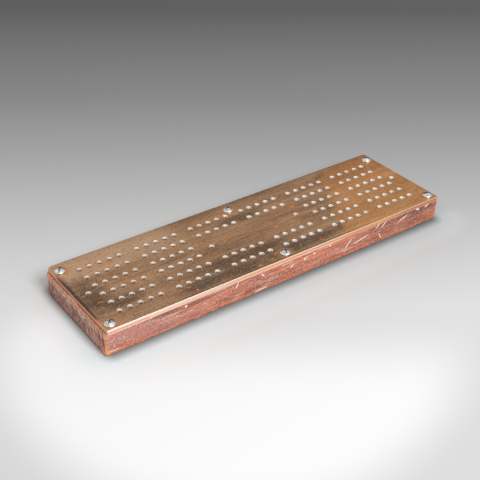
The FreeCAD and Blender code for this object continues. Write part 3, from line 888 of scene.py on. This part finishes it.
# ---- The screw cups ----
# Turned brass rings, nickel plated, that lie on the plate under the screws' heads. The plating
# has gone a little green, and grime has settled round their feet.

CUP_RADIUS = 3.8 * MM
CUP_RIM_RADIUS = 2.83 * MM
CUP_HEIGHT = 1.3 * MM
CUP_SKIRT = 0.25 * MM


def cup_rings():
    """The cup's outline from its foot, over the rim and down its cone to the plate."""
    drop = CUP_HEIGHT - CUP_SKIRT
    angles = [math.radians(90 * step / ROUND_STEPS) for step in range(ROUND_STEPS + 1)]
    wall = [(CUP_RIM_RADIUS + (CUP_RADIUS - CUP_RIM_RADIUS) * math.cos(angle),
             CUP_SKIRT + drop * math.sin(angle)) for angle in angles]
    return [(CUP_RADIUS, 0.0)] + wall + [(CUP_RIM_RADIUS - CUP_HEIGHT, 0.0)]


def nickel_plate(top):
    """Old nickel: a soft grey-green bloom over bright metal, and dark grime low down, by the plate's
    face at top, in mm."""
    material = new_material("nickel plate")
    height = place_on(material)[2]
    bloom = streaks(material, (1.6, 1.6, 1.6), 4)
    paint = add(material, "ShaderNodeValToRGB", {"Fac": bloom}, stops=[
        (0.36, "#a9b0a2"), (0.54, "#d4dccf"), (0.70, "#eef0ea")])
    paint = stained(material, paint, "#3c2f28", height, top + 0.35, top + 0.05, 0.9)
    return finish_material(material, paint, bloom, 0.01, Metallic=1.0, Roughness=0.24)


cups = copies(turned_piece("cup", cup_rings(), 40, is_hollow=True), screw_places)
cups.name = "screw_cups_turned"
place_piece(cups, Matrix.Translation((0, 0, plate_high.z)))
fit(cups, nickel_plate(plate_high.z / MM), "case", "cup_nickel", "screw_cups")


# ---- The plate screws ----
# Steel wood screws with raised heads, turned, slotted and polished bright. Dirt has filled the
# bottoms of their slots.

SCREW_HEAD_RADIUS = 2.8 * MM
SCREW_DOME_HEIGHT = 0.9 * MM
SCREW_SHANK_RADIUS = 1.45 * MM
SCREW_LENGTH = 10.0 * MM
SCREW_TIP_LENGTH = 2.5 * MM
SCREW_TIP_RADIUS = 0.15 * MM
DOME_EYE = 0.02                      # radians, a last small ring at the top of the dome
SLOT_WIDTH = 0.8 * MM
SLOT_DEPTH = 0.7 * MM
SLOT_TURNS = (35, 80, -20, 60, 10, -50)


def screw_rings():
    """From the point up to the top of the dome, with the plate's face at height 0."""
    dome_radius = (SCREW_HEAD_RADIUS ** 2 + SCREW_DOME_HEIGHT ** 2) / (2 * SCREW_DOME_HEIGHT)
    top = CUP_HEIGHT + SCREW_DOME_HEIGHT
    spread = math.asin(SCREW_HEAD_RADIUS / dome_radius)
    angles = [spread * (1 - step / ROUND_STEPS) for step in range(1, ROUND_STEPS)] + [DOME_EYE]
    dome = [(dome_radius * math.sin(angle), top - dome_radius * (1 - math.cos(angle))) for angle in angles]
    return [(SCREW_TIP_RADIUS, -SCREW_LENGTH), (SCREW_SHANK_RADIUS, SCREW_TIP_LENGTH - SCREW_LENGTH),
            (SCREW_SHANK_RADIUS, CUP_HEIGHT - (SCREW_HEAD_RADIUS - SCREW_SHANK_RADIUS)),
            (SCREW_HEAD_RADIUS, CUP_HEIGHT)] + dome


# Bright steel, nearly a mirror, with red-brown patches painted in as reflections. The dirt in the slots is
# red-brown and dull.
steel = mottled("polished steel", (1.2, 1.2, 1.2), 9, [
    (0.34, "#6e4a52"), (0.44, "#c4b4bc"), (0.54, "#f0ecf2"), (0.70, "#ffffff")],
                0.015, Metallic=1.0, Roughness=0.14)
slot_dirt = finish_material(new_material("dirt in a slot"), "#6a3a3c", Roughness=0.7)
slot_top = CUP_HEIGHT + SCREW_DOME_HEIGHT
for node, turn in zip(screw_nodes, SLOT_TURNS):
    screw = turned_piece(node + "_turned", screw_rings(), 32)
    screw.data.materials.append(steel)
    slot = block("slot", (-2 * SCREW_HEAD_RADIUS, -SLOT_WIDTH / 2, slot_top - SLOT_DEPTH),
                 (2 * SCREW_HEAD_RADIUS, SLOT_WIDTH / 2, slot_top + MM))
    slot.data.materials.append(slot_dirt)
    cut(screw, slot)
    middle = centre_of(node)
    place_piece(screw, Matrix.Translation((middle.x, middle.y, plate_high.z))
                @ Matrix.Rotation(math.radians(turn), 4, "Z"))
    fit(screw, steel, "case", "screw_steel", node)


# ---- The floor ----
# A plain pale studio sweep that runs from near white in front of the box to mid grey behind it. A
# pool of light is painted on it in a wide oval and close to the left end, and a shadow is painted
# just where the box stands.

FLOOR_SIZE = 8.0                     # m
HEADING = math.radians(35.92)        # the way the camera looks, from +Y towards +X
SWEEP_START = -0.30                  # m along that way, where the sweep's shades begin
SWEEP_END = 0.60
# A pool of light painted on the sweep in a wide oval, and lighter patches painted left of the box and at
# its front
PAINTED_LIGHT_OVAL = ((-2, 21, 0), (390, 576, 100), (0, 0, -math.degrees(HEADING)))
PAINTED_LIGHT_PATCHES = [((-145, -8, 0), (110, 120, 100), (0, 0, 0)), ((-95, -22, 0), (240, 100, 100), (0, 0, 0))]
SHADOW_SHIFT = (-0.8 * MM, 0, 0)     # brings the shadow's core nearer to the closed end
SHADOW_INSET = Vector((4.7, 1.5, 0)) * MM  # how far inside the case that core ends

bpy.ops.object.select_all(action="DESELECT")
bpy.ops.mesh.primitive_plane_add(size=FLOOR_SIZE)
floor = bpy.context.object
floor.name = "floor"
sweep = new_material("studio sweep")
where = add(sweep, "ShaderNodeTexCoord", out="Object")
turned = add(sweep, "ShaderNodeVectorRotate", {"Vector": where, "Angle": HEADING}, rotation_type="Z_AXIS")
depth = add(sweep, "ShaderNodeMapRange", {
    "Value": each_axis(sweep, turned)[1], "From Min": SWEEP_START, "From Max": SWEEP_END})
shade = add(sweep, "ShaderNodeValToRGB", {"Fac": depth}, stops=[
    (0.10, "#d5d5d5"), (0.17, "#d8d8d8"), (0.27, "#dddddd"), (0.41, "#bdbdbd"), (0.50, "#a7a7a7"),
    (0.61, "#8f8f8f"), (0.88, "#676767")])
lit = both_shown(sweep, (spots(sweep, [PAINTED_LIGHT_OVAL]), 0.02, 0.30), (depth, 0.285, 0.155))
shade = layered(sweep, shade, [
    ("#f6f6f6", lit, 0, 1), ("#fcfcfc", spots(sweep, PAINTED_LIGHT_PATCHES), 0.05, 0.90, 0.7)])

# The floor's distance from the shadow's core, and the painted shadow, painted light and cool tint that it
# gives the colour
outside = add(sweep, "ShaderNodeVectorMath", {0: where, 1: SHADOW_SHIFT}, operation="ADD")
outside = add(sweep, "ShaderNodeVectorMath", {0: outside}, operation="ABSOLUTE")
outside = add(sweep, "ShaderNodeVectorMath", {0: outside, 1: case_high - SHADOW_INSET},
              operation="SUBTRACT")
outside = add(sweep, "ShaderNodeVectorMath", {0: outside, 1: (0, 0, 0)}, operation="MAXIMUM")
outside = add(sweep, "ShaderNodeVectorMath", {0: outside}, out="Value", operation="LENGTH")
back = each_axis(sweep, where)[1]
# Painted light: the floor a little lighter in front of the box
painted_light_in_front = both_shown(sweep, (outside, 34 * MM, 14 * MM), (back, -30 * MM, -45 * MM))
# Painted light just in front of the box, then a painted shadow darkest where the box stands
shade = layered(sweep, shade, [
    ("#ffffff", painted_light_in_front, 0, 1, 0.15), ("#3a4a4e", outside, 11 * MM, 0.5 * MM, 0.76)])
# Painted cool shade round the box's foot, against the warm light that the wood throws on the floor
beside = both_shown(sweep, (outside, 28 * MM, 6 * MM), (back, 40 * MM, -50 * MM))
shade = add(sweep, "ShaderNodeMix", {0: beside, 6: shade, 7: "#f2fcff"}, out=2, data_type="RGBA",
            blend_type="MULTIPLY")
finish_material(sweep, shade, Roughness=0.9, **{"Specular IOR Level": 0.0})
floor.data.materials.append(sweep)


# ---- The light ----
# A room that is bright behind the box and dim on this side, and one softbox high in front that
# catches the arrises. Metal sees white all round, but grey behind the box and dark low down there.

SOFTBOX_PLACE = Vector((0.06, -1.86, 1.67))
SOFTBOX_WIDTH = 1.0                  # m
SOFTBOX_POWER = 43.0                 # W

room = bpy.data.worlds.new("studio room")
bpy.context.scene.world = room
room.use_nodes = True
room.node_tree.nodes.clear()
away = Vector((math.sin(HEADING), math.cos(HEADING), 0))
look = add(room, "ShaderNodeTexCoord", out="Generated")
towards = add(room, "ShaderNodeVectorMath", {0: look, 1: away}, out="Value", operation="DOT_PRODUCT")
reflected = add(room, "ShaderNodeValToRGB", {"Fac": towards}, stops=[
    (0.0, "#ffffff"), (0.45, "#eeeeee"), (0.70, "#cacaca"), (0.86, "#b4b4b4"), (0.97, "#303030")])
lighting = add(room, "ShaderNodeMapRange", {
    "Value": towards, "From Min": -1.0, "From Max": 1.0, "To Min": 0.10, "To Max": 1.02})
is_glossy = add(room, "ShaderNodeLightPath", out="Is Glossy Ray")
seen = add(room, "ShaderNodeMix", {0: is_glossy, 6: lighting, 7: reflected}, out=2, data_type="RGBA")
add(room, "ShaderNodeOutputWorld", {"Surface": add(room, "ShaderNodeBackground", {"Color": seen})})

bpy.ops.object.light_add(type="AREA", location=SOFTBOX_PLACE)
softbox = bpy.context.object
softbox.name = "softbox in front"
softbox.data.shape = "SQUARE"
softbox.data.size = SOFTBOX_WIDTH
softbox.data.energy = SOFTBOX_POWER
softbox.rotation_euler = (-SOFTBOX_PLACE).to_track_quat("-Z", "Y").to_euler()


# ---- The camera ----
# A long lens looks down the box from beyond its left front corner.

CAMERA_PLACE = Vector((-316.04, -421.37, 352.82)) * MM
CAMERA_TILT = math.radians(33.04)    # below level
CAMERA_ROLL = math.radians(0.52)
FOCAL_LENGTH = 69.62                 # mm
SENSOR_WIDTH = 36.0                  # mm

bpy.ops.object.camera_add()
camera = bpy.context.object
camera.data.lens = FOCAL_LENGTH
camera.data.sensor_width = SENSOR_WIDTH
camera.data.clip_start = 0.01
camera.matrix_world = (Matrix.Translation(CAMERA_PLACE) @ Matrix.Rotation(-HEADING, 4, "Z")
                       @ Matrix.Rotation(math.pi / 2 - CAMERA_TILT, 4, "X")
                       @ Matrix.Rotation(CAMERA_ROLL, 4, "Z"))
bpy.context.scene.camera = camera
bpy.context.scene.view_settings.view_transform = "Standard"
